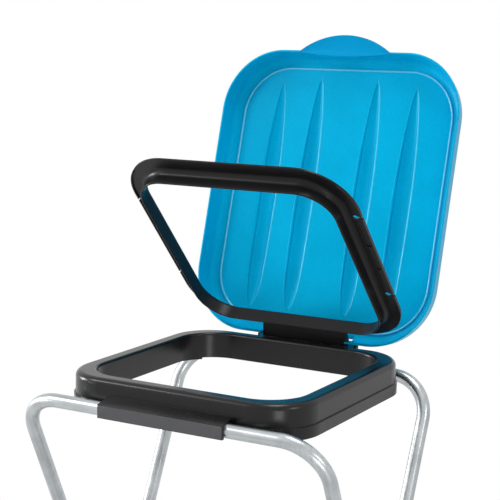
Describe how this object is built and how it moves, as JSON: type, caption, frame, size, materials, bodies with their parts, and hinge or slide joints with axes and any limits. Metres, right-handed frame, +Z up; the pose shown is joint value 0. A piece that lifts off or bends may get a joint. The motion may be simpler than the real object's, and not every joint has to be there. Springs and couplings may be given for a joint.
{
  "type": "bin bag holder",
  "caption": "Folding stand that holds a bin bag open: crossed tube legs, square bag ring, hinged clamp ring and hinged lid.",
  "frame": {"origin": "on the floor, at the centre of the overall bounds as the stand is open", "axes": "+Z up, -Y towards the front, where the bag ring is sleeved on its tube; +X to the right seen from the front"},
  "size_m": [0.4578, 0.5236, 1.2751],
  "materials": {
    "aluminium_tube": "satin, drawn",
    "foot_plastic": "matte black",
    "zinc_steel": "zinc plated",
    "washer_nylon": "natural nylon",
    "base_plastic": "satin dark grey",
    "clamp_plastic": "satin charcoal",
    "lid_plastic": "satin cyan blue",
    "pin_steel": "bright",
    "cap_plastic": "matte black"
  },
  "bodies": {
    "front_frame": {"front_frame_tube": "aluminium_tube", "rear_left_foot_cap": "foot_plastic", "rear_right_foot_cap": "foot_plastic", "pivot_bolt_left": "zinc_steel", "pivot_bolt_right": "zinc_steel", "pivot_nut_left": "zinc_steel", "pivot_nut_right": "zinc_steel", "pivot_washer_left": "washer_nylon", "pivot_washer_right": "washer_nylon"},
    "rear_frame": {"rear_frame_tube": "aluminium_tube", "front_left_foot_cap": "foot_plastic", "front_right_foot_cap": "foot_plastic"},
    "bag_ring": {"base_ring": "base_plastic", "hinge_pin": "pin_steel", "hinge_pin_cap_left": "cap_plastic", "hinge_pin_cap_right": "cap_plastic"},
    "clamp": {"clamp_ring": "clamp_plastic"},
    "lid": {"lid": "lid_plastic"}
  },
  "joints": [
    {"name": "frame_fold", "type": "hinge", "parent": "front_frame", "child": "rear_frame", "pos_m": [0, -0.0572, 0.4208], "axis": [1, 0, 0], "range_deg": [0, 42]},
    {"name": "ring_tilt", "type": "hinge", "parent": "front_frame", "child": "bag_ring", "pos_m": [0, -0.2374, 0.8158], "axis": [1, 0, 0], "range_deg": [0, 113.4]},
    {"name": "lid_hinge", "type": "hinge", "parent": "bag_ring", "child": "lid", "pos_m": [0, 0.1358, 0.8438], "axis": [1, 0, 0], "range_deg": [0, 106]},
    {"name": "clamp_hinge", "type": "hinge", "parent": "bag_ring", "child": "clamp", "pos_m": [0, 0.1358, 0.8438], "axis": [1, 0, 0], "range_deg": [0, 47.6]}
  ],
  "couplings": [
    {"joint": "ring_tilt", "follows": "frame_fold", "ratio": 2.7},
    {"joint": "clamp_hinge", "follows": "lid_hinge", "ratio": 0.449}
  ]
}
